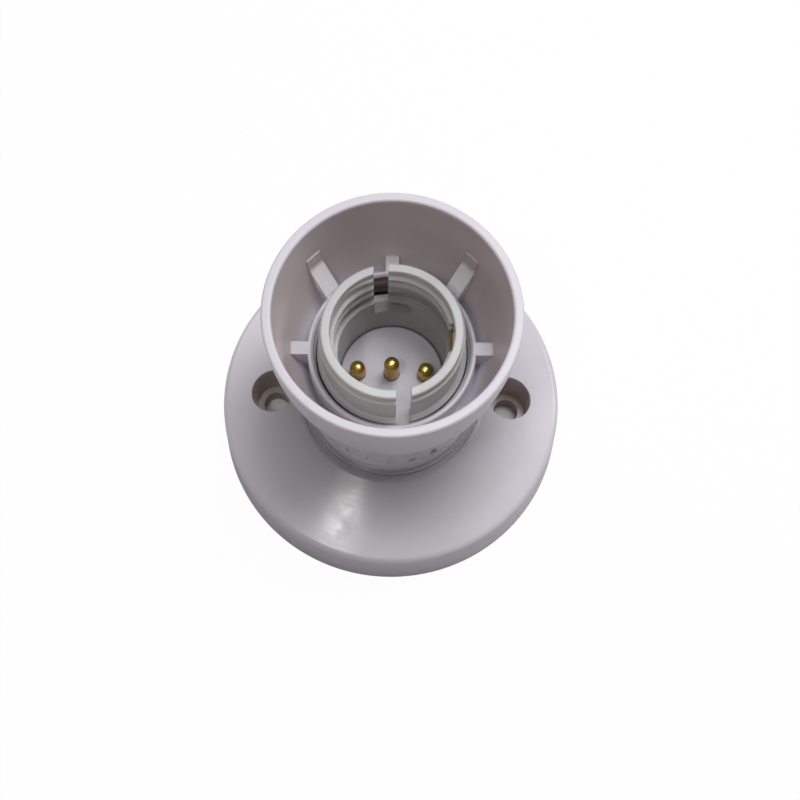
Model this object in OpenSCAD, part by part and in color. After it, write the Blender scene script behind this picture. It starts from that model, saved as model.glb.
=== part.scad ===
/* [Base] */
// Outer diameter of the round base
base_d = 85.8; // [80:0.2:96]
// Height of the straight side of the base
base_side_h = 12; // [10:0.1:12.6]
// Inward lean of the side of the base
base_lean = 0.8; // [0.4:0.1:1.2]
// Radius of the rounded edge of the base
base_round = 1.8; // [1:0.1:2.4]
// Wall of the base moulding
base_wall = 2.4; // [1.8:0.1:2.8]
// Diameter of the edge round the top of the neck
neck_d = 46.4; // [45:0.2:48]
// Height of the neck's top face
neck_h = 18.2; // [17.4:0.1:19.5]
// Thickness of the seat ring inside the neck
seat_t = 2.6; // [2:0.1:3]
// Number of stiffening ribs under the base
rib_count = 8; // [4:2:12]
// Thickness of one stiffening rib
rib_t = 1.5; // [1:0.1:2]

/* [Fixing holes] */
// Distance between the two fixing holes
fix_pitch = 59; // [58:0.5:61]
// Diameter of a fixing hole at the top of the base
fix_cbore_d = 11; // [9:0.1:11.4]
// Diameter of the through hole
fix_hole_d = 6.2; // [4.5:0.1:6.6]
// Height of the ledge that the screw head bears on
fix_ledge_h = 5.3; // [3:0.1:8]
// Wall round the counterbore on the underside
fix_boss_wall = 1.6; // [1.2:0.1:2]

/* [Barrel] */
// Inner diameter of the mouth, over the roots of the lamp thread
mouth_d = 27.2; // [26.8:0.1:27.4]
// Inner diameter of the lower bore
bore_d = 24.5; // [24.3:0.1:24.9]
// Height of the mouth above the mounting face
mouth_h = 61.1; // [60:0.1:63]
// Depth from the mouth to the step of the bore
step_depth = 13.8; // [13.4:0.1:14.2]
// Outer diameter of the lip
lip_d = 31.2; // [30.8:0.1:31.6]
// Outer diameter of the plain body
barrel_d = 31.4; // [30.8:0.1:31.8]
// Outer diameter of the bead under the lip
bead_d = 32.2; // [32:0.1:33]
// Outer diameter of the ring thread
thread_d = 33.8; // [33:0.1:34]
// Pitch of the ring thread
thread_pitch = 4; // [3:0.25:5]
// Diameter of the foot flange
flange_d = 40.6; // [39:0.2:41.2]
// Thickness of the foot flange
flange_t = 2.6; // [2:0.1:3]

/* [Lamp thread] */
// Pitch of the lamp thread
lamp_pitch = 3.63; // [3.4:0.01:3.8]
// Height of the thread's crest above the bore wall
lamp_crest = 0.75; // [0.4:0.05:0.9]
// Turns of the lamp thread
lamp_turns = 2.25; // [1:0.25:2.25]
// Depth of the thread's first crest below the mouth
lamp_start = 2.6; // [2.2:0.1:3]

/* [Bayonet slots] */
// Width of a slot
slot_w = 3.3; // [2.8:0.1:3.6]
// Depth of a slot below the mouth
slot_depth = 19.5; // [18:0.1:20.5]
// Height of the hook at the foot of a slot
hook_h = 4.8; // [4:0.1:5.2]
// Angle that the hook reaches beyond the slot's middle
hook_a = 30; // [24:1:34]
// Bearing of the rear slot about the axis
slot_a = 102; // [96:1:108]

/* [Skirt] */
// Outer diameter of the rim
rim_d = 54.8; // [54:0.2:58]
// Overall height of the lamp holder
skirt_top = 72; // [70:0.2:74]
// Wall of the skirt
skirt_wall = 2.15; // [1.8:0.05:2.4]
// Outer diameter of the fluted grip
grip_d = 40.2; // [39.8:0.1:41]
// Height of the fluted grip
grip_h = 8.2; // [7:0.1:9]
// Number of flutes round the grip
flute_count = 24; // [18:1:30]
// Outer diameter of the threaded collar
collar_d = 38; // [37.4:0.1:38.4]
// Height of the collar's top above the mounting face
collar_top = 49.5; // [48:0.1:50]
// Thickness of the low webs between collar and skirt
web_t = 3.1; // [2.4:0.1:3.6]
// Thickness of the two tall webs
tall_web_t = 3.9; // [2.8:0.1:4.4]
// Height of the tall webs where they meet the skirt
web_top = 56.6; // [54:0.2:58]
// Angle that the webs are turned from the fixing holes
web_a = 1.5; // [-3:0.5:3]

/* [Contacts] */
// Height of the socket floor above the mounting face
floor_h = 32.1; // [31:0.1:33]
// Distance between the two bayonet plungers
plunger_pitch = 16; // [15:0.1:16.4]
// Diameter of a bayonet plunger
plunger_d = 3.7; // [3.3:0.1:3.9]
// Height of a bayonet plunger above the socket floor
plunger_rise = 5; // [4:0.1:6]
// Travel of a bayonet plunger
plunger_travel = 3; // [2:0.1:3.2]
// Diameter of the centre plunger
centre_d = 3.6; // [3:0.1:3.7]
// Height of the centre plunger above the socket floor
centre_rise = 8.4; // [7:0.1:9]
// Travel of the centre plunger
centre_travel = 3.5; // [2:0.1:3.6]
// Wire diameter of the plunger springs
spring_wire = 0.5; // [0.4:0.05:0.6]
// Turns of a plunger spring
spring_turns = 6; // [4:1:7]
// Outer diameter of a terminal tube
tube_d = 5.8; // [5.6:0.1:6]
// Outer diameter of the centre tube
centre_tube_d = 5.6; // [5.4:0.1:5.8]
// Wall of a terminal tube
tube_wall = 0.5; // [0.4:0.05:0.6]
// Thickness of sheet brass
strip_t = 0.5; // [0.4:0.05:0.6]
// Width of the side contact strip
side_w = 5; // [4:0.1:5.5]

/* [Fits] */
// Gap between pieces that are fitted together
fit = 0.15; // [0.1:0.05:0.2]
// Gap between bodies that move apart
clear = 0.3; // [0.25:0.05:0.4]
// Radial gap of a plunger in its hole
slide_fit = 0.08; // [0.06:0.01:0.1]

/* [Hidden] */
$fn = 64;

eps = 0.02;

// Base: radii and the arc of its concave top
base_r = base_d / 2;
neck_r = neck_d / 2;
seat_low = neck_h - seat_t;
seat_bore_r = 12.8;
dome_sag = 0.3;
fix_draft = 0.8;
groove_w = 1.1;
groove_depth = 0.7;

// Barrel: radii and levels
mouth_r = mouth_d / 2;
bore_r = bore_d / 2;
barrel_r = barrel_d / 2;
lip_r = lip_d / 2;
lip_h = 1.5;
lip_round = 0.45;
bead_r = bead_d / 2;
bead_top = mouth_h - lip_h - 1.2;
groove_r = barrel_r - 0.5;
thread_r = thread_d / 2;
thread_top = collar_top - 1.4;
thread_low = 29;
thread_root_r = barrel_r;
step_z = mouth_h - step_depth;
shoulder_z = floor_h - 3.1;
foot_z = neck_h + 0.1;
low_ring_r = thread_r;
low_ring_top = foot_z + flange_t + 5;
window_r = 14.6;
window_w = side_w + 1.4;
window_low = step_z + 1.6;
window_top = mouth_h - 2.7;
channel_r = bore_r + 0.75;

// Contact block and the plate under it
block_top_r = bore_r - fit;
block_flange_r = seat_bore_r + 0.6;
block_low = foot_z;
block_step = shoulder_z - fit;
plate_top = block_low - fit;
plate_low = seat_low + 0.2;
plate_r = seat_bore_r - 1.5;
plunger_x = plunger_pitch / 2;

// Terminals
tube_r = tube_d / 2;
tube_in_r = tube_r - tube_wall;
centre_tube_r = centre_tube_d / 2;
centre_in_r = centre_tube_r - tube_wall;
tube_top = shoulder_z - 0.2;
tube_floor = block_low - 0.9;
collar_t = 1.1;
collar_out = 0.5;
strip_top = plate_low - clear;
strip_low = strip_top - strip_t;
post_top = strip_low - clear;
post_h = 7.6;
post_low = post_top - post_h;
post_x = 6.2;
post_y = 8.4;
wire_r = 1.5;

// Plungers
head_t = 1.6;
head_top = shoulder_z - 0.1;
head_low = head_top - head_t;

// Skirt: levels and the two sides of its bell
foot_gap_z = foot_z + flange_t + clear;
grip_low = foot_gap_z + 3.4;
grip_top = grip_low + grip_h;
grip_r = grip_d / 2;
rim_r = rim_d / 2;
collar_r = collar_d / 2;
collar_bore_r = thread_r + clear;
collar_root_r = collar_bore_r + 0.55;
bowl_floor = 42.5;
flute_r = 1.05;

// Points of an arc about c from angle a0 to a1
function arc(c, r, a0, a1, n = 8) =
    [for (i = [0:n]) let (a = a0 + (a1 - a0) * i / n) [c[0] + r * cos(a), c[1] + r * sin(a)]];

// Points of a shallow arc from p to q that sinks by s at its middle
function sag_arc(p, q, s, n = 12) =
    [for (i = [1:n - 1]) let (t = i / n, k = 4 * s * t * (1 - t), d = q - p, l = norm(d))
        p + d * t + [-d[1], d[0]] * (k / l)];

// Points of a cubic curve with end slopes, from p towards a, and from b into q
function curve(p, a, b, q, n = 12) =
    [for (i = [0:n]) let (t = i / n, u = 1 - t)
        p * (u * u * u) + a * (3 * u * u * t) + b * (3 * u * t * t) + q * (t * t * t)];

module turned(points, n = 96) {
    rotate_extrude($fn = n) polygon(points);
}

module at_bearing(a) {
    rotate([0, 0, a]) children();
}

// Outline of the base's outer skin, from the foot to the neck's edge
function base_skin(inset = 0) =
    let (m = max(base_round, inset + 0.3),
         c = [base_r - base_lean - m, base_side_h + base_round - m],
         foot = c + [cos(76), sin(76)] * (m - inset),
         neck = [neck_r - inset * 0.8, neck_h - inset])
    concat([[base_r - inset, 0]], arc(c, m - inset, 0, 76, 8), sag_arc(foot, neck, dome_sag), [neck]);

// The round base with its neck, fixing holes and ribs
module base() {
    color([0.86, 0.86, 0.89])
    difference() {
        union() {
            difference() {
                turned(concat(base_skin(), [[0, neck_h]], [[0, 0]]), 128);
                turned(concat(base_skin(base_wall), [[0, neck_h - base_wall], [0, 0]]), 128);
                translate([0, 0, -eps]) cylinder(r = base_r - base_wall, h = 1);
            }
            translate([0, 0, seat_low]) cylinder(r = neck_r - base_wall / 2, h = seat_t - 1);
            intersection() {
                turned(concat(base_skin(base_wall / 2), [[0, neck_h - base_wall / 2], [0, 0]]), 128);
                union() {
                    for (s = [-1, 1])
                        translate([s * fix_pitch / 2, 0, 0])
                            cylinder(r = fix_cbore_d / 2 + fix_boss_wall, h = neck_h);
                    base_ribs();
                }
            }
        }
        translate([0, 0, -1]) cylinder(r = seat_bore_r, h = neck_h + 2);
        for (s = [-1, 1]) {
            translate([s * fix_pitch / 2, 0, fix_ledge_h])
                cylinder(r1 = fix_cbore_d / 2 - fix_draft, r2 = fix_cbore_d / 2 + fix_draft * 0.62, h = neck_h);
            translate([s * fix_pitch / 2, 0, -1]) cylinder(r = fix_hole_d / 2, h = neck_h);
        }
        barrel_screw_places() translate([0, 0, seat_low - 1]) cylinder(r = screw_r + fit, h = seat_t + 2);
        neck_groove();
    }
}

// Ribs that join the neck to the side wall, kept off the two fixing holes
module base_ribs() {
    for (i = [0:rib_count - 1])
        at_bearing((i + 0.5) * 360 / rib_count)
            translate([rib_in_r, -rib_t / 2, rib_low])
                cube([base_r - base_wall / 2 - rib_in_r, rib_t, neck_h]);
    translate([0, 0, rib_low]) difference() {
        cylinder(r = rib_in_r + base_wall * 0.8, h = neck_h);
        translate([0, 0, -1]) cylinder(r = rib_in_r, h = neck_h + 2);
    }
}
rib_low = 2.2;
rib_in_r = 19;

// Shallow groove inside the neck's edge
module neck_groove() {
    in_r = neck_r - groove_w - 0.9;
    turned([[in_r, neck_h + 1], [in_r, neck_h - groove_depth],
            [in_r + groove_w, neck_h - groove_depth], [in_r + groove_w, neck_h + 1]]);
}

// Fastener sizes
screw_r = 1.45;
pilot_r = 1.3;
barrel_screw_ring = 15.4;
plate_screw_ring = 8.2;

module barrel_screw_places() {
    for (s = [-1, 1]) translate([0, s * barrel_screw_ring, 0]) children();
}

module plate_screw_places() {
    for (s = [-1, 1]) translate([0, s * plate_screw_ring, 0]) children();
}

// Outer side of the barrel, from the flange up to the lip
function thread_side() = [
    for (z = [thread_low:thread_pitch:thread_top - thread_pitch / 2])
        each [[thread_root_r, z], [thread_r, z + thread_pitch * 0.2],
              [thread_r, z + thread_pitch * 0.55], [thread_root_r, z + thread_pitch * 0.75]]];

function barrel_side() = concat(
    [[flange_d / 2, foot_z], [flange_d / 2, foot_z + flange_t],
     [low_ring_r, foot_z + flange_t], [low_ring_r, low_ring_top], [thread_root_r, low_ring_top + 0.8]],
    thread_side(),
    [[barrel_r, bead_top - 1.3], [bead_r, bead_top - 0.8], [bead_r, bead_top - 0.3],
     [bead_r - 0.3, bead_top], [groove_r, bead_top], [groove_r, mouth_h - lip_h],
     [lip_r, mouth_h - lip_h + 0.2]],
    arc([lip_r - lip_round, mouth_h - lip_round], lip_round, 0, 90, 5));

function barrel_bore() = concat(
    arc([mouth_r + 0.35, mouth_h - 0.35], 0.35, 90, 180, 5),
    [[mouth_r, step_z + 0.1], [bore_r + 0.15, step_z], [bore_r, step_z - 0.2], [bore_r, shoulder_z],
     [block_flange_r + fit, shoulder_z], [block_flange_r + fit, foot_z]]);

// Barrel with its bayonet slots, lamp thread and ring thread
module barrel() {
    color([0.84, 0.86, 0.83])
    difference() {
        union() {
            turned(concat(barrel_side(), barrel_bore()), 128);
            lamp_thread();
        }
        for (s = [0, 180]) at_bearing(slot_a + s) bayonet_slot();
        contact_window();
        barrel_screw_places() translate([0, 0, foot_z - 1]) cylinder(r = pilot_r, h = 1 + flange_t + 4.2);
    }
}

// One slot as a single outline, cut straight outward, its hook running clockwise from above
module bayonet_slot() {
    wall_r = (bore_r + barrel_r) / 2;
    low = mouth_h - slot_depth;
    slot_y = wall_r * sin(slot_turn);
    end_y = wall_r * sin(slot_turn - hook_a) + hook_h / 2;
    at_bearing(-slot_turn) rotate([90, 0, 90]) translate([0, 0, bore_r - 4])
        linear_extrude(thread_r - bore_r + 8)
            polygon(concat(
                [[slot_y + slot_w / 2, low], [slot_y + slot_w / 2, mouth_h + 1],
                 [slot_y - slot_w / 2, mouth_h + 1], [slot_y - slot_w / 2, low + hook_h]],
                arc([end_y, low + hook_h / 2], hook_h / 2, 90, 270, 12)));
}
slot_turn = 10;

// Channel in the wall for the side contact, and the window it looks out of
module contact_window() {
    translate([channel_r, -side_w / 2 - clear, foot_z - 1])
        cube([window_r - channel_r, side_w + 2 * clear, window_top - foot_z + 1]);
    translate([mouth_r - 3, -window_w / 2, window_low])
        cube([window_r - mouth_r + 3, window_w, window_top - window_low]);
    translate([block_flange_r - 2, -side_w / 2 - clear, foot_z - 1])
        cube([window_r - block_flange_r + 2, side_w + 2 * clear, side_jog_z - foot_z + 1]);
}

// Helical crest of the lamp thread, swept as one solid
module lamp_thread() {
    steps = 36;
    n = round(steps * lamp_turns);
    z0 = mouth_h - lamp_start;
    half = 0.95;
    profile = [[mouth_r + 0.4, -half - 0.3], [mouth_r + 0.4, half + 0.3],
               [mouth_r - lamp_crest, half * 0.4], [mouth_r - lamp_crest, -half * 0.4]];
    ring = len(profile);
    points = [for (i = [0:n], p = profile)
        let (a = 150 - 360 * i / steps, fade = min(1, min(i, n - i) / 5),
             r = p[0] > mouth_r ? p[0] : mouth_r + 0.2 - (lamp_crest + 0.2) * fade)
        [r * cos(a), r * sin(a), z0 - lamp_pitch * i / steps + p[1]]];
    sides = [for (i = [0:n - 1], j = [0:ring - 1]) let (k = (j + 1) % ring)
        each [[(i + 1) * ring + k, i * ring + k, i * ring + j],
              [(i + 1) * ring + j, (i + 1) * ring + k, i * ring + j]]];
    first = [[0, 1, 2], [0, 2, 3]];
    last = [for (t = [[2, 1, 0], [3, 2, 0]]) [for (v = t) n * ring + v]];
    polyhedron(points, concat(sides, first, last));
}

// Outer side of the bell, from the grip up to the rim
function bell_out() = curve([grip_r, grip_top], [grip_r + 1.5, grip_top + 7.7],
                            [rim_r - 0.4, skirt_top - 20], [rim_r, skirt_top - 2.5], 16);

function bell_in() = curve([collar_r + 0.25, bowl_floor], [collar_r + 2, bowl_floor + 2.5],
                           [rim_r - skirt_wall + 0.45, collar_top + 3],
                           [rim_r - skirt_wall, skirt_top - 2.5], 16);

function reversed(v) = [for (i = [len(v) - 1:-1:0]) v[i]];

function collar_side() = concat(
    [[collar_r, bowl_floor], [collar_r, collar_top - 0.3], [collar_r - 0.3, collar_top],
     [collar_root_r + 0.5, collar_top], [collar_root_r, collar_top - 0.6]],
    [for (z = [collar_top - 2.4:-thread_pitch:collar_top - 14])
        each [[collar_root_r, z], [collar_bore_r, z - thread_pitch * 0.15],
              [collar_bore_r, z - thread_pitch * 0.5], [collar_root_r, z - thread_pitch * 0.65]]],
    [[collar_root_r, foot_gap_z + 0.5], [collar_root_r + 0.5, foot_gap_z]]);

// Skirt: bell, threaded collar, webs and fluted grip in one moulding
module skirt() {
    rim_c = rim_r - skirt_wall / 2;
    color([0.88, 0.88, 0.92])
    difference() {
        union() {
            turned(concat(
                [[grip_r - 0.5, foot_gap_z], [grip_r, foot_gap_z + 0.5],
                 [grip_r, grip_low - 0.7], [grip_r - 0.6, grip_low - 0.5],
                 [grip_r - 0.6, grip_low - 0.1], [grip_r, grip_low]],
                bell_out(),
                arc([rim_r - rim_round, skirt_top - rim_round], rim_round, 0, 90, 6),
                arc([rim_r - skirt_wall + rim_round, skirt_top - rim_round], rim_round, 90, 180, 6),
                reversed(bell_in()),
                collar_side()), 128);
            intersection() {
                turned(concat(
                    [[collar_root_r + 0.8, bowl_floor - 1]],
                    [for (p = bell_in()) p + [skirt_wall / 2, 0]],
                    [[collar_root_r + 0.8, skirt_top - 2.5]]), 128);
                webs();
            }
        }
        for (i = [0:flute_count - 1])
            at_bearing(-88.3 + i * 360 / flute_count)
                translate([grip_r + 0.25, 0, grip_low - eps])
                    cylinder(r1 = flute_r, r2 = 0.2, h = grip_h - 1.2, $fn = 16);
    }
}
rim_round = 0.6;

// Four low webs round the collar and two tall ones at the back
module webs() {
    for (i = [0:3])
        at_bearing(web_a + i * 90)
            web(web_t, [[collar_r - 0.6, bowl_floor], [collar_r - 0.6, collar_top],
                        [rim_r, collar_top], [rim_r, bowl_floor]]);
    for (a = [45, 135])
        at_bearing(web_a + a)
            web(tall_web_t, [[collar_r - 0.6, bowl_floor], [collar_r - 0.6, collar_top],
                             [collar_r, collar_top], [web_out_r, web_top], [web_out_r + 0.1, web_top + 1.6],
                             [web_out_r + 0.4, web_top + 3.6], [rim_r, web_top + 4.6], [rim_r, bowl_floor]]);
}
web_out_r = 24.2;

module web(t, section) {
    rotate([90, 0, 0]) translate([0, 0, -t / 2]) linear_extrude(t) polygon(section);
}

// Floor of the socket, holding the three plungers and their tubes
module contact_block() {
    color([0.82, 0.81, 0.87])
    difference() {
        turned([[0, block_low], [block_flange_r, block_low], [block_flange_r, block_step],
                [block_top_r, block_step], [block_top_r, floor_h - 0.3], [block_top_r - 0.3, floor_h],
                [0, floor_h]], 128);
        for (s = [-1, 1]) translate([s * plunger_x, 0, 0])
            tube_hole(plunger_d / 2, tube_r);
        tube_hole(centre_d / 2, centre_tube_r);
        translate([side_leg_r - clear, -side_w / 2 - clear, block_low - 1])
            cube([5, side_w + 2 * clear, side_jog_z - block_low + 1]);
        translate([channel_r - fit, -side_w / 2 - clear, block_low - 1])
            cube([5, side_w + 2 * clear, floor_h - block_low]);
        plate_screw_places() translate([0, 0, block_low - 1]) cylinder(r = pilot_r - 0.2, h = 8);
    }
}

module tube_hole(stem_r, r) {
    translate([0, 0, block_low - 1]) cylinder(r = stem_r + slide_fit, h = floor_h);
    translate([0, 0, block_low - 1]) cylinder(r = r + fit, h = shoulder_z - block_low + 1);
    translate([0, 0, block_low - 1]) cylinder(r = r + collar_out + fit, h = 1 + collar_t + fit);
}

// Plate under the block that keeps the tubes in
module retaining_plate() {
    color([0.75, 0.62, 0.42])
    difference() {
        translate([0, 0, plate_low]) cylinder(r = plate_r, h = plate_top - plate_low);
        for (s = [-1, 1]) translate([s * plunger_x, 0, plate_low - 1]) cylinder(r = tube_r + fit, h = seat_t + 2);
        translate([0, 0, plate_low - 1]) cylinder(r = centre_tube_r + fit, h = seat_t + 2);
        plate_screw_places() translate([0, 0, plate_low - 1]) cylinder(r = screw_r - 0.2 + fit, h = seat_t + 2);
    }
}

// Domed plunger: stem from its head up to the dome
module plunger(d, rise) {
    r = d / 2;
    color([0.80, 0.62, 0.22])
    turned(concat(
        [[0, head_low], [plunger_head_r(d), head_low], [plunger_head_r(d), head_top - 0.2],
         [plunger_head_r(d) - 0.2, head_top], [r, head_top]],
        arc([0, floor_h + rise - r], r, 0, 90, 10)), 48);
}
function plunger_head_r(d) = d / 2 + 0.35;

module left_plunger() {
    translate([-plunger_x, 0, 0]) plunger(plunger_d, plunger_rise);
}

module right_plunger() {
    translate([plunger_x, 0, 0]) plunger(plunger_d, plunger_rise);
}

module centre_plunger() {
    plunger(centre_d, centre_rise);
}

// Coil spring as one swept wire, with a ring of points for each step
module coil(d) {
    steps = 14;
    sides = 6;
    low = tube_floor + spring_wire / 2 + 0.05;
    high = head_low - spring_wire / 2 - 0.05;
    n = steps * spring_turns;
    mean_r = d / 2 - spring_wire / 2;
    points = [for (i = [0:n], j = [0:sides - 1])
        let (a = 360 * i / steps, b = 360 * j / sides, r = mean_r + spring_wire / 2 * cos(b))
        [r * cos(a), r * sin(a), low + (high - low) * i / n + spring_wire / 2 * sin(b)]];
    skin = [for (i = [0:n - 1], j = [0:sides - 1]) let (k = (j + 1) % sides)
        each [[i * sides + j, i * sides + k, (i + 1) * sides + k],
              [i * sides + j, (i + 1) * sides + k, (i + 1) * sides + j]]];
    first = [for (j = [1:sides - 2]) [0, j + 1, j]];
    last = [for (j = [1:sides - 2]) [n * sides, n * sides + j, n * sides + j + 1]];
    color([0.75, 0.76, 0.78]) polyhedron(points, concat(skin, first, last));
}
coil_gap = 0.15;

module left_spring() {
    translate([-plunger_x, 0, 0]) coil(2 * (tube_in_r - coil_gap));
}

module right_spring() {
    translate([plunger_x, 0, 0]) coil(2 * (tube_in_r - coil_gap));
}

module centre_spring() {
    coil(2 * (centre_in_r - coil_gap));
}

// Tube with its collar, open at the top
module contact_tube(r, in_r, low) {
    difference() {
        union() {
            translate([0, 0, low]) cylinder(r = r, h = tube_top - low);
            translate([0, 0, block_low]) cylinder(r = r + collar_out, h = collar_t);
        }
        translate([0, 0, tube_floor]) cylinder(r = in_r, h = tube_top);
    }
}

// Terminal: tube above, screw post for the wire below
module terminal(side) {
    color([0.80, 0.64, 0.28])
    translate([side * plunger_x, 0, 0])
    difference() {
        union() {
            contact_tube(tube_r, tube_in_r, post_top);
            translate([-post_x / 2, -post_y / 2, post_low]) cube([post_x, post_y, post_h]);
        }
        translate([0, -post_y / 2 - 1, post_low + 4.2]) rotate([-90, 0, 0]) cylinder(r = wire_r, h = post_y + 2);
        translate([0, 0, post_low - 1]) cylinder(r = pilot_r, h = 5.2);
    }
}

module left_terminal() {
    terminal(-1);
}

module right_terminal() {
    terminal(1);
}

module centre_socket() {
    color([0.80, 0.64, 0.28]) contact_tube(centre_tube_r, centre_in_r, strip_low);
}

// Strip that joins the centre socket to the left terminal
module centre_link() {
    color([0.78, 0.60, 0.25])
    translate([0, 0, strip_low]) difference() {
        union() {
            cylinder(r = centre_tube_r + 1.3, h = strip_t);
            translate([-plunger_x, 0, 0]) cylinder(r = tube_r + 1.1, h = strip_t);
            translate([-plunger_x, -2, 0]) cube([plunger_x, 4, strip_t]);
        }
        translate([0, 0, -1]) cylinder(r = centre_tube_r + 0.05, h = strip_t + 2);
        translate([-plunger_x, 0, -1]) cylinder(r = tube_r + 0.05, h = strip_t + 2);
    }
}

// Springy strip from the right terminal up to its window in the barrel
side_leg_r = 11.75;
side_jog_z = foot_z + 6.5;
side_back_r = channel_r + 0.4;
side_crown_r = mouth_r - lamp_crest - 0.1;
side_ring_gap = 0.15;

module side_contact() {
    t = strip_t;
    path = [[side_leg_r, strip_low], [side_leg_r, foot_z + 1], [side_back_r, foot_z + 4.5],
            [side_back_r, window_low + 1], [side_crown_r, window_low + 3.2], [side_crown_r, window_low + 5.4],
            [side_back_r - 0.1, window_top - 1.2]];
    outline = concat(path, [for (i = [len(path) - 1:-1:0]) path[i] + [t, 0]]);
    color([0.72, 0.54, 0.22]) {
        rotate([90, 0, 0]) translate([0, 0, -side_w / 2]) linear_extrude(side_w) polygon(outline);
        translate([0, 0, strip_low]) linear_extrude(t) difference() {
            union() {
                translate([plunger_x, 0]) circle(r = tube_r + 0.9);
                translate([plunger_x + tube_r - 0.5, -side_w / 2])
                    square([side_leg_r + t / 2 - plunger_x - tube_r + 0.5, side_w]);
            }
            translate([plunger_x, 0]) circle(r = tube_r + side_ring_gap);
        }
    }
}

// Cheese head screw pointing up, with a slot across its head
module screw(r, length, head_r, head_h) {
    difference() {
        union() {
            cylinder(r = r, h = length);
            translate([0, 0, -head_h]) cylinder(r = head_r, h = head_h);
        }
        translate([-head_r - 1, -0.3, -head_h - eps]) cube([2 * head_r + 2, 0.6, head_h * 0.5]);
    }
}

module terminal_screws() {
    color([0.70, 0.71, 0.73])
    for (s = [-1, 1]) translate([s * plunger_x, 0, post_low - 0.1]) screw(pilot_r - 0.05, 2.6, 2, 1.3);
}

module plate_screws() {
    color([0.70, 0.71, 0.73])
    plate_screw_places() translate([0, 0, plate_low - 0.05]) screw(pilot_r - 0.25, 8, 1.8, 1.2);
}

module barrel_screws() {
    color([0.70, 0.71, 0.73])
    barrel_screw_places() translate([0, 0, seat_low - 0.05]) screw(pilot_r - 0.05, 7.5, 2.4, 1.6);
}

base();
barrel();
skirt();
contact_block();
retaining_plate();
left_plunger();
right_plunger();
centre_plunger();
left_spring();
right_spring();
centre_spring();
left_terminal();
right_terminal();
centre_socket();
centre_link();
side_contact();
terminal_screws();
plate_screws();
barrel_screws();
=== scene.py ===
"""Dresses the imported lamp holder: moulded plastic, brass and steel finishes, camera, lamps and floor."""
import math

import bpy
from mathutils import Matrix, Vector


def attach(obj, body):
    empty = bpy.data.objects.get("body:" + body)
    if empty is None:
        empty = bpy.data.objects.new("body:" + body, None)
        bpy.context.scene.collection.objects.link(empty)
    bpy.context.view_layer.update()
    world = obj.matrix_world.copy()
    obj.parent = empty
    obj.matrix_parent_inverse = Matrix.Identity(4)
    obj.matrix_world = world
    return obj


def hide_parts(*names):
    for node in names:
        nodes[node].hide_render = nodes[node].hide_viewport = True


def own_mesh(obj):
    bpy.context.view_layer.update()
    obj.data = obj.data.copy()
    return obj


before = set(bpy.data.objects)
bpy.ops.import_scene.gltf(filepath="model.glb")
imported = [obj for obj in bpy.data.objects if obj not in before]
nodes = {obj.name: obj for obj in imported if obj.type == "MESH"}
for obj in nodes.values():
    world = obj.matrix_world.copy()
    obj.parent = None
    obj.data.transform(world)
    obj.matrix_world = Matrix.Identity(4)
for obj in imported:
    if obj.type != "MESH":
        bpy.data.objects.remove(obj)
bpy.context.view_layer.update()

# Camera, fitted to the photograph with the lamp mouth as the known size
CAMERA_PLACE = (0.0016, -0.09721, 0.31381)
CAMERA_TURN = 0.0066
CAMERA_DOWN = 1.2592
CAMERA_ROLL = 0.0380
CAMERA_LENS = 56.49
SENSOR_WIDTH = 36.0

# Light
WORLD_LIGHT = 0.13
WORLD_TINT = (1.0, 0.84, 0.70)
KEY_PLACE = (0.122, 0.146, 0.615)
KEY_SIZE = 0.26
KEY_POWER = 1.8
KEY_TINT = (0.96, 0.97, 1.0)
BACK_PLACE = (-0.350, 0.380, 0.370)
BACK_SIZE = 0.24
BACK_POWER = 0.55
SIDE_PLACE = (0.470, 0.240, 0.360)
SIDE_SIZE = 0.24
SIDE_POWER = 1.1
CEILING_PLACE = (-0.125, -0.165, 0.580)
CEILING_SIZE = 0.06
CEILING_POWER = 0.48
FLOOR_SIZE = 6.0
FLOOR_WHITE = 0.97
FLOOR_PALE = (0.96, 0.96, 0.96)
FLOOR_BOUNCE = (0.60, 0.60, 0.66)
UNDER_BASE = 0.0405

# Plunger springs: side, distance from the axis, and how far the plunger goes down
SPRINGS = (("left", -0.008, 0.003), ("right", 0.008, 0.003), ("centre", 0.0, 0.0035))

# Finishes, and tints that paint light and shade, as linear colours
WHITE_SKIRT = (0.710, 0.685, 0.745)
WHITE_BARREL = (0.600, 0.605, 0.605)
LAVENDER_BLOCK = (0.680, 0.660, 0.735)
DUST_TINT = (0.420, 0.395, 0.370)
# painted shade: a warmer, darker tint on the inner wall of the skirt's bowl
BOWL_SHADE_TINT = (0.90, 0.84, 0.77)
# painted shade: dark brown in the collar's thread behind the barrel's rear slot
THREAD_SHADE_TINT = (0.35, 0.28, 0.24)
# painted shade: darker brown inside the two fixing holes
RECESS_SHADE_TINT = (0.66, 0.58, 0.49)
# painted shade: darker back wall of the barrel's bore
BORE_SHADE_TINT = (0.56, 0.55, 0.54)
# painted light: tall webs in the bowl made lighter than the plastic
WEB_LIGHT_TINT = (1.36, 1.38, 1.31)
# painted shadow: the skirt's shadow as a dark ring on the base round the neck
NECK_SHADOW_TINT = (0.48, 0.47, 0.48)
# painted shade: darker plunger sides below the bright tips
PLUNGER_SIDE_SHADE_TINT = (0.60, 0.48, 0.26)
BRASS_GOLD = (0.800, 0.575, 0.150)
BRASS_DULL = (0.420, 0.280, 0.110)
BRASS_DARK = (0.070, 0.045, 0.022)
STEEL_GREY = (0.560, 0.570, 0.590)
STEEL_DARK = (0.260, 0.265, 0.280)
BOARD_BROWN = (0.240, 0.140, 0.070)
BOARD_DARK = (0.120, 0.070, 0.040)


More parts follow.
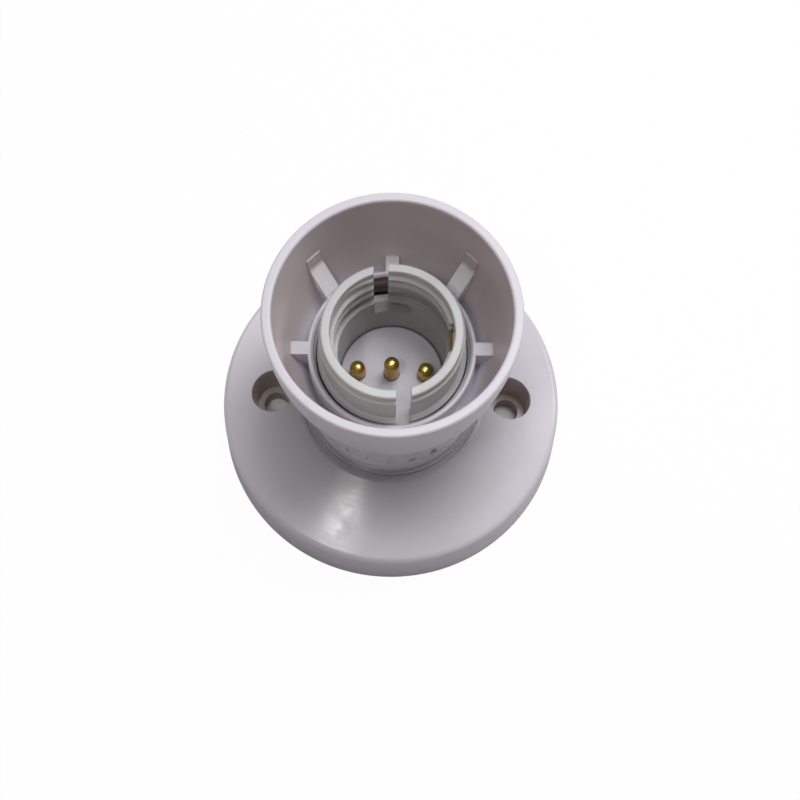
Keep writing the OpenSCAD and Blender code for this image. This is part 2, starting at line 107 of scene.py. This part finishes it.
def camera_axes():
    """Right, up and backward directions of the fitted camera."""
    forward = Vector((math.sin(CAMERA_TURN) * math.cos(CAMERA_DOWN),
                      math.cos(CAMERA_TURN) * math.cos(CAMERA_DOWN),
                      -math.sin(CAMERA_DOWN)))
    level = Vector((math.cos(CAMERA_TURN), -math.sin(CAMERA_TURN), 0.0))
    upright = level.cross(forward)
    right = level * math.cos(CAMERA_ROLL) + upright * math.sin(CAMERA_ROLL)
    up = upright * math.cos(CAMERA_ROLL) - level * math.sin(CAMERA_ROLL)
    return right, up, -forward


def add_camera():
    lens = bpy.data.cameras.new("photo_camera")
    lens.lens = CAMERA_LENS
    lens.sensor_fit = "HORIZONTAL"
    lens.sensor_width = SENSOR_WIDTH
    lens.clip_start = 0.01
    camera = bpy.data.objects.new("photo_camera", lens)
    bpy.context.scene.collection.objects.link(camera)
    turn = Matrix(camera_axes()).transposed()
    camera.matrix_world = Matrix.Translation(CAMERA_PLACE) @ turn.to_4x4()
    bpy.context.scene.camera = camera


def add_lamp(name, place, size, power, tint=(1.0, 1.0, 1.0)):
    """A square soft box that points at the middle of the holder."""
    light = bpy.data.lights.new(name, "AREA")
    light.shape = "SQUARE"
    light.size = size
    light.energy = power
    light.color = tint
    lamp = bpy.data.objects.new(name, light)
    bpy.context.scene.collection.objects.link(lamp)
    aim = Vector((0.0, 0.0, 0.035)) - Vector(place)
    lamp.matrix_world = Matrix.Translation(place) @ aim.to_track_quat("-Z", "Y").to_matrix().to_4x4()


def seen_directly(tree):
    """Masks that are 1 on rays from the camera, and on rays through glass or in reflections."""
    path = tree.nodes.new("ShaderNodeLightPath")
    mirrored = combine(tree, "MAXIMUM", path.outputs["Is Glossy Ray"], path.outputs["Is Transmission Ray"])
    return path.outputs["Is Camera Ray"], mirrored


def add_world():
    world = bpy.data.worlds.new("pale_studio")
    bpy.context.scene.world = world
    world.use_nodes = True
    tree = world.node_tree
    tree.nodes.clear()
    soft = tree.nodes.new("ShaderNodeBackground")
    soft.inputs["Color"].default_value = (*WORLD_TINT, 1.0)
    soft.inputs["Strength"].default_value = WORLD_LIGHT
    white = tree.nodes.new("ShaderNodeBackground")
    white.inputs["Strength"].default_value = 1.0
    white.inputs["Color"].default_value = (1.0, 1.0, 1.0, 1.0)
    mix = tree.nodes.new("ShaderNodeMixShader")
    out = tree.nodes.new("ShaderNodeOutputWorld")
    tree.links.new(combine(tree, "MAXIMUM", *seen_directly(tree)), mix.inputs["Fac"])
    tree.links.new(soft.outputs[0], mix.inputs[1])
    tree.links.new(white.outputs[0], mix.inputs[2])
    tree.links.new(mix.outputs[0], out.inputs["Surface"])


def floor_glow(tree):
    """Share of plain white in the floor as seen directly, with none under the base, so that holes look dark."""
    place = tree.nodes.new("ShaderNodeTexCoord")
    reach = tree.nodes.new("ShaderNodeVectorMath")
    reach.operation = "LENGTH"
    tree.links.new(place.outputs["Object"], reach.inputs[0])
    beyond = span(tree, reach.outputs["Value"], UNDER_BASE, UNDER_BASE + 0.001, 0.0, FLOOR_WHITE)
    farther = span(tree, reach.outputs["Value"], UNDER_BASE + 0.004, UNDER_BASE + 0.030, 0.0, FLOOR_WHITE)
    camera, mirrored = seen_directly(tree)
    glow = combine(tree, "ADD", combine(tree, "MULTIPLY", camera, beyond),
                   combine(tree, "MULTIPLY", mirrored, farther))
    return camera, glow


def add_floor():
    """A floor that stays white to the camera, keeps the holder's shadow and throws little light back up."""
    bpy.ops.object.select_all(action="DESELECT")
    bpy.ops.mesh.primitive_plane_add(size=FLOOR_SIZE, location=(0.0, 0.0, 0.0))
    floor = bpy.context.object
    floor.name = "studio_floor"
    paint = bpy.data.materials.new("studio_white")
    paint.use_nodes = True
    tree = paint.node_tree
    tree.nodes.clear()
    seen, glow_share = floor_glow(tree)
    matte = tree.nodes.new("ShaderNodeBsdfDiffuse")
    tree.links.new(blend_colours(tree, seen, FLOOR_BOUNCE, FLOOR_PALE), matte.inputs["Color"])
    glow = tree.nodes.new("ShaderNodeEmission")
    glow.inputs["Strength"].default_value = 1.0
    mix = tree.nodes.new("ShaderNodeMixShader")
    out = tree.nodes.new("ShaderNodeOutputMaterial")
    tree.links.new(glow_share, mix.inputs["Fac"])
    tree.links.new(matte.outputs[0], mix.inputs[1])
    tree.links.new(glow.outputs[0], mix.inputs[2])
    tree.links.new(mix.outputs[0], out.inputs["Surface"])
    floor.data.materials.append(paint)


def new_group(name, takes, gives):
    """An empty node group with its input and output nodes."""
    group = bpy.data.node_groups.new(name, "ShaderNodeTree")
    for label, kind, value in takes:
        socket = group.interface.new_socket(label, in_out="INPUT", socket_type=kind)
        socket.default_value = value
    for label, kind in gives:
        group.interface.new_socket(label, in_out="OUTPUT", socket_type=kind)
    return group, group.nodes.new("NodeGroupInput"), group.nodes.new("NodeGroupOutput")


def noise(tree, scale, detail, roughness=0.5, stretch=None):
    """A noise texture on Object coordinates, in repeats per metre."""
    place = tree.nodes.new("ShaderNodeTexCoord")
    texture = tree.nodes.new("ShaderNodeTexNoise")
    texture.inputs["Scale"].default_value = scale
    texture.inputs["Detail"].default_value = detail
    texture.inputs["Roughness"].default_value = roughness
    if stretch is None:
        tree.links.new(place.outputs["Object"], texture.inputs["Vector"])
    else:
        mapping = tree.nodes.new("ShaderNodeMapping")
        mapping.inputs["Scale"].default_value = stretch
        tree.links.new(place.outputs["Object"], mapping.inputs["Vector"])
        tree.links.new(mapping.outputs[0], texture.inputs["Vector"])
    return texture.outputs["Fac"]


def span(tree, value, low, high, to_low, to_high):
    """Maps a value from one range to another, held at its ends."""
    ramp = tree.nodes.new("ShaderNodeMapRange")
    ramp.clamp = True
    for label, number in (("From Min", low), ("From Max", high), ("To Min", to_low), ("To Max", to_high)):
        ramp.inputs[label].default_value = number
    tree.links.new(value, ramp.inputs["Value"])
    return ramp.outputs["Result"]


def combine(tree, operation, first, second):
    node = tree.nodes.new("ShaderNodeMath")
    node.operation = operation
    for socket, value in zip(node.inputs, (first, second)):
        if isinstance(value, (int, float)):
            socket.default_value = value
        else:
            tree.links.new(value, socket)
    return node.outputs[0]


def blend_colours(tree, mask, first, second, mode="MIX"):
    mix = tree.nodes.new("ShaderNodeMix")
    mix.data_type = "RGBA"
    mix.blend_type = mode
    tree.links.new(mask, mix.inputs["Factor"])
    for socket, value in ((mix.inputs["A"], first), (mix.inputs["B"], second)):
        if isinstance(value, tuple):
            socket.default_value = (*value, 1.0)
        else:
            tree.links.new(value, socket)
    return mix.outputs["Result"]


def moulding_group():
    """Moulded plastic: cloudy colour, handled patches, dust in places, and a faint orange peel."""
    group, takes, gives = new_group(
        "moulded_plastic",
        [("Colour", "NodeSocketColor", (0.7, 0.7, 0.7, 1.0)),
         ("Shade", "NodeSocketColor", (0.6, 0.6, 0.6, 1.0)),
         ("Dust Colour", "NodeSocketColor", (0.4, 0.4, 0.4, 1.0)), ("Dust", "NodeSocketFloat", 0.1),
         ("Gloss", "NodeSocketFloat", 0.3), ("Scuffs", "NodeSocketFloat", 0.2)],
        [("Colour", "NodeSocketColor"), ("Roughness", "NodeSocketFloat"), ("Height", "NodeSocketFloat")])
    clouds = span(group, noise(group, 55.0, 4.0), 0.35, 0.68, 0.0, 1.0)
    patches = span(group, noise(group, 120.0, 6.0, 0.62), 0.46, 0.66, 0.0, 1.0)
    specks = span(group, noise(group, 2600.0, 2.0), 0.70, 0.80, 0.0, 0.5)
    scratches = span(group, noise(group, 260.0, 2.0, 0.5, (1.0, 14.0, 1.0)), 0.74, 0.82, 0.0, 0.4)
    cloudy = blend_colours(group, clouds, takes.outputs["Colour"], takes.outputs["Shade"])
    settled = combine(group, "MULTIPLY", combine(group, "ADD", patches, specks), takes.outputs["Dust"])
    dusty = blend_colours(group, settled, cloudy, takes.outputs["Dust Colour"])
    worn = combine(group, "MULTIPLY", combine(group, "ADD", patches, scratches), takes.outputs["Scuffs"])
    rough = combine(group, "ADD", takes.outputs["Gloss"], worn)
    peel = combine(group, "MULTIPLY", noise(group, 500.0, 2.0), 0.5)
    marks = combine(group, "MULTIPLY", scratches, -0.05)
    group.links.new(dusty, gives.inputs["Colour"])
    group.links.new(rough, gives.inputs["Roughness"])
    group.links.new(combine(group, "ADD", peel, marks), gives.inputs["Height"])
    return group


def ring_coordinates(tree):
    """Distance from the holder's axis, and the separate coordinates, in metres."""
    place = tree.nodes.new("ShaderNodeTexCoord")
    flat = tree.nodes.new("ShaderNodeVectorMath")
    flat.operation = "MULTIPLY"
    flat.inputs[1].default_value = (1.0, 1.0, 0.0)
    reach = tree.nodes.new("ShaderNodeVectorMath")
    reach.operation = "LENGTH"
    parts = tree.nodes.new("ShaderNodeSeparateXYZ")
    tree.links.new(place.outputs["Object"], flat.inputs[0])
    tree.links.new(flat.outputs["Vector"], reach.inputs[0])
    tree.links.new(place.outputs["Object"], parts.inputs[0])
    return reach.outputs["Value"], parts.outputs["X"], parts.outputs["Y"], parts.outputs["Z"]


def mask_group(name, build):
    """A node group with one output, a mask that the given function builds."""
    group, takes, gives = new_group(name, [], [("Mask", "NodeSocketFloat")])
    group.links.new(build(group), gives.inputs["Mask"])
    return group


def wall_distance(tree):
    """Distance from the axis, distance outside the bowl's inner wall, and height."""
    reach, x, y, z = ring_coordinates(tree)
    below = combine(tree, "SUBTRACT", 0.070, z)
    depth = combine(tree, "MAXIMUM", combine(tree, "MULTIPLY", below, 50.0), 0.0)
    bend = combine(tree, "MULTIPLY", combine(tree, "POWER", depth, 2.2), 0.0024)
    return reach, combine(tree, "ADD", combine(tree, "SUBTRACT", reach, 0.0253), bend), z


def bowl_wall_shade(tree):
    """The inner wall of the skirt's bowl, tinted warmer and darker as painted shade."""
    reach, off, z = wall_distance(tree)
    inner = combine(tree, "MULTIPLY", span(tree, off, -0.0006, -0.0002, 0.0, 1.0),
                    span(tree, off, 0.0006, 0.0010, 1.0, 0.0))
    return combine(tree, "MULTIPLY", inner, span(tree, z, 0.0703, 0.0711, 1.0, 0.0))


def collar_thread_shade(tree):
    """Painted shade, dark brown, in the thread inside the collar behind the rear slot of the barrel."""
    reach, x, y, z = ring_coordinates(tree)
    ring = combine(tree, "MULTIPLY", span(tree, reach, 0.0179, 0.0183, 1.0, 0.0),
                   span(tree, z, 0.0486, 0.0492, 1.0, 0.0))
    return combine(tree, "MULTIPLY", ring, span(tree, y, 0.0145, 0.0160, 0.0, 1.0))


def web_painted_light(tree):
    """The tall webs in the bowl, painted lighter than the wall behind them as painted light."""
    reach, off, z = wall_distance(tree)
    inside = combine(tree, "MULTIPLY", span(tree, reach, 0.0191, 0.0193, 0.0, 1.0),
                     span(tree, off, -0.0006, -0.0002, 1.0, 0.0))
    return combine(tree, "MULTIPLY", inside, span(tree, z, 0.0497, 0.0500, 0.0, 1.0))


def neck_shadow(tree):
    """Painted shadow of the skirt on the base, as a dark ring round the foot of the neck."""
    reach, x, y, z = ring_coordinates(tree)
    ring = combine(tree, "POWER", span(tree, reach, 0.0225, 0.0400, 1.0, 0.0), 1.3)
    return combine(tree, "MULTIPLY", ring, span(tree, z, 0.0135, 0.0150, 0.0, 1.0))


def screw_recess_shade(tree):
    """Painted shade, brownish and darker, inside the two fixing holes."""
    reach, x, y, z = ring_coordinates(tree)
    aside = combine(tree, "SUBTRACT", combine(tree, "ABSOLUTE", x, 0.0), 0.0295)
    squares = combine(tree, "ADD", combine(tree, "MULTIPLY", aside, aside), combine(tree, "MULTIPLY", y, y))
    near = span(tree, combine(tree, "SQRT", squares, 0.0), 0.0052, 0.0058, 1.0, 0.0)
    return combine(tree, "MULTIPLY", near, span(tree, z, 0.0140, 0.0152, 1.0, 0.0))


def bore_back_shade(tree):
    """Painted shade on the back of the barrel's bore."""
    reach, x, y, z = ring_coordinates(tree)
    deep = combine(tree, "MULTIPLY", span(tree, reach, 0.0146, 0.0150, 1.0, 0.0),
                   span(tree, z, 0.0500, 0.0600, 1.0, 0.0))
    return combine(tree, "MULTIPLY", deep, span(tree, combine(tree, "ADD", y, x), -0.006, 0.008, 0.0, 1.0))


def plunger_side_shade(tree):
    """Painted shade on the sides of the plungers below the tips, for the dark surroundings they reflect."""
    reach, x, y, z = ring_coordinates(tree)
    middle = span(tree, reach, 0.0030, 0.0032, 0.0034, 0.0)
    return span(tree, combine(tree, "SUBTRACT", z, middle), 0.0352, 0.0364, 1.0, 0.0)


def metal_group():
    """Turned or pressed metal: tarnish in patches, drawn grain and small dents."""
    group, takes, gives = new_group(
        "worked_metal",
        [("Bright", "NodeSocketColor", (0.7, 0.7, 0.7, 1.0)),
         ("Tarnish", "NodeSocketColor", (0.3, 0.3, 0.3, 1.0)),
         ("Age", "NodeSocketFloat", 0.5), ("Gloss", "NodeSocketFloat", 0.2)],
        [("Colour", "NodeSocketColor"), ("Roughness", "NodeSocketFloat"), ("Height", "NodeSocketFloat")])
    stains = span(group, noise(group, 420.0, 5.0, 0.6), 0.45, 0.70, 0.0, 1.0)
    grain = noise(group, 1500.0, 3.0, 0.6, (1.0, 1.0, 7.0))
    dents = noise(group, 700.0, 2.0)
    aged = combine(group, "MULTIPLY", stains, takes.outputs["Age"])
    colour = blend_colours(group, aged, takes.outputs["Bright"], takes.outputs["Tarnish"])
    dull = combine(group, "MULTIPLY", aged, 0.25)
    drawn = combine(group, "MULTIPLY", grain, 0.10)
    rough = combine(group, "ADD", takes.outputs["Gloss"], combine(group, "ADD", dull, drawn))
    group.links.new(colour, gives.inputs["Colour"])
    group.links.new(rough, gives.inputs["Roughness"])
    relief = combine(group, "ADD", combine(group, "MULTIPLY", grain, 0.4), dents)
    group.links.new(relief, gives.inputs["Height"])
    return group


def dressed_material(name, group, values, bump, edge, metallic=0.0, mirror=0.5, marks=()):
    """A Principled material fed by one of the groups, with marks, a soft edge and a shallow bump."""
    material = bpy.data.materials.new(name)
    material.use_nodes = True
    tree = material.node_tree
    shader = tree.nodes["Principled BSDF"]
    shader.inputs["Metallic"].default_value = metallic
    shader.inputs["Specular IOR Level"].default_value = mirror
    effect = tree.nodes.new("ShaderNodeGroup")
    effect.node_tree = group
    for label, value in values.items():
        effect.inputs[label].default_value = (*value, 1.0) if isinstance(value, tuple) else value
    relief = tree.nodes.new("ShaderNodeBump")
    relief.inputs["Strength"].default_value = 0.35
    relief.inputs["Distance"].default_value = bump
    soft_edge = tree.nodes.new("ShaderNodeBevel")
    soft_edge.samples = 4
    soft_edge.inputs["Radius"].default_value = edge
    tree.links.new(soft_edge.outputs[0], relief.inputs["Normal"])
    tree.links.new(effect.outputs["Height"], relief.inputs["Height"])
    colour = effect.outputs["Colour"]
    for mark, tint in marks:
        spot = tree.nodes.new("ShaderNodeGroup")
        spot.node_tree = mark
        colour = blend_colours(tree, spot.outputs["Mask"], colour, tint, "MULTIPLY")
    tree.links.new(colour, shader.inputs["Base Color"])
    tree.links.new(effect.outputs["Roughness"], shader.inputs["Roughness"])
    tree.links.new(relief.outputs[0], shader.inputs["Normal"])
    return material


def plastic(name, colour, shade, gloss, dust, scuffs, marks=()):
    values = {"Colour": colour, "Shade": shade, "Dust Colour": DUST_TINT, "Dust": dust, "Gloss": gloss,
              "Scuffs": scuffs}
    return dressed_material(name, MOULDED, values, 0.00002, 0.00025, mirror=0.35, marks=marks)


def metal(name, bright, tarnish, age, gloss, marks=()):
    values = {"Bright": bright, "Tarnish": tarnish, "Age": age, "Gloss": gloss}
    return dressed_material(name, WORKED, values, 0.00003, 0.0001, metallic=1.0, marks=marks)


def toned(colour, factor):
    return tuple(part * factor for part in colour)


def dress(material, *names):
    for name in names:
        mesh = nodes[name].data
        mesh.materials.clear()
        mesh.materials.append(material)


def squeezed_spring(side):
    """A copy of a plunger's spring, merged at its seams and shaded smooth, that stands in for it on the
    holder's body.
    """
    name = side + "_spring"
    coil = bpy.data.objects.new(side + "_coil", nodes[name].data.copy())
    bpy.context.scene.collection.objects.link(coil)
    bpy.ops.object.select_all(action="DESELECT")
    bpy.context.view_layer.objects.active = coil
    coil.select_set(True)
    bpy.ops.object.mode_set(mode="EDIT")
    bpy.ops.mesh.select_all(action="SELECT")
    bpy.ops.mesh.remove_doubles(threshold=0.000001)
    bpy.ops.object.mode_set(mode="OBJECT")
    bpy.ops.object.shade_smooth_by_angle(angle=math.radians(40.0))
    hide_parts(name)
    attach(coil, "holder")
    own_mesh(coil)


MOULDED = moulding_group()
WORKED = metal_group()

BOWL_SHADE = mask_group("bowl_wall_shade", bowl_wall_shade)
THREAD_SHADE = mask_group("collar_thread_shade", collar_thread_shade)
RECESS_SHADE = mask_group("screw_recess_shade", screw_recess_shade)
WEB_LIGHT = mask_group("web_painted_light", web_painted_light)
NECK_SHADOW = mask_group("neck_shadow", neck_shadow)
BORE_SHADE = mask_group("bore_back_shade", bore_back_shade)
PLUNGER_SIDE_SHADE = mask_group("plunger_side_shade", plunger_side_shade)

dress(plastic("skirt_white", WHITE_SKIRT, toned(WHITE_SKIRT, 0.96), 0.34, 0.02, 0.03,
              ((BOWL_SHADE, BOWL_SHADE_TINT), (THREAD_SHADE, THREAD_SHADE_TINT), (WEB_LIGHT, WEB_LIGHT_TINT))), "skirt")
dress(plastic("base_white", WHITE_SKIRT, toned(WHITE_SKIRT, 0.95), 0.19, 0.03, 0.10,
              ((RECESS_SHADE, RECESS_SHADE_TINT), (NECK_SHADOW, NECK_SHADOW_TINT))), "base")
dress(plastic("barrel_white", WHITE_BARREL, toned(WHITE_BARREL, 0.94), 0.30, 0.06, 0.12,
              ((BORE_SHADE, BORE_SHADE_TINT),)), "barrel")
dress(plastic("block_lavender", LAVENDER_BLOCK, toned(LAVENDER_BLOCK, 0.93), 0.34, 0.10, 0.15),
      "contact_block")
dress(plastic("board_brown", BOARD_BROWN, BOARD_DARK, 0.62, 0.08, 0.20), "retaining_plate")
dress(metal("plunger_brass", BRASS_GOLD, BRASS_DULL, 0.30, 0.18, ((PLUNGER_SIDE_SHADE, PLUNGER_SIDE_SHADE_TINT),)),
      "left_plunger", "right_plunger", "centre_plunger")
dress(metal("terminal_brass", BRASS_GOLD, BRASS_DULL, 0.65, 0.22), "left_terminal", "right_terminal",
      "centre_socket")
dress(metal("strip_brass", toned(BRASS_GOLD, 0.9), BRASS_DULL, 0.70, 0.26), "centre_link")
# painted shade: the recessed side contact is given dark brass for the shadow it sits in
dress(metal("side_brass_shaded", BRASS_DULL, BRASS_DARK, 0.80, 0.34), "side_contact")
dress(metal("spring_steel", STEEL_GREY, STEEL_DARK, 0.40, 0.20),
      "left_spring", "right_spring", "centre_spring")
dress(metal("screw_steel", STEEL_GREY, STEEL_DARK, 0.55, 0.28),
      "terminal_screws", "plate_screws", "barrel_screws")

for side, offset, travel in SPRINGS:
    squeezed_spring(side)

add_camera()
add_world()
add_lamp("key_softbox", KEY_PLACE, KEY_SIZE, KEY_POWER, KEY_TINT)
add_lamp("back_softbox", BACK_PLACE, BACK_SIZE, BACK_POWER)
add_lamp("side_softbox", SIDE_PLACE, SIDE_SIZE, SIDE_POWER)
add_lamp("ceiling_lamp", CEILING_PLACE, CEILING_SIZE, CEILING_POWER)
add_floor()

bpy.context.scene.view_settings.view_transform = "Standard"
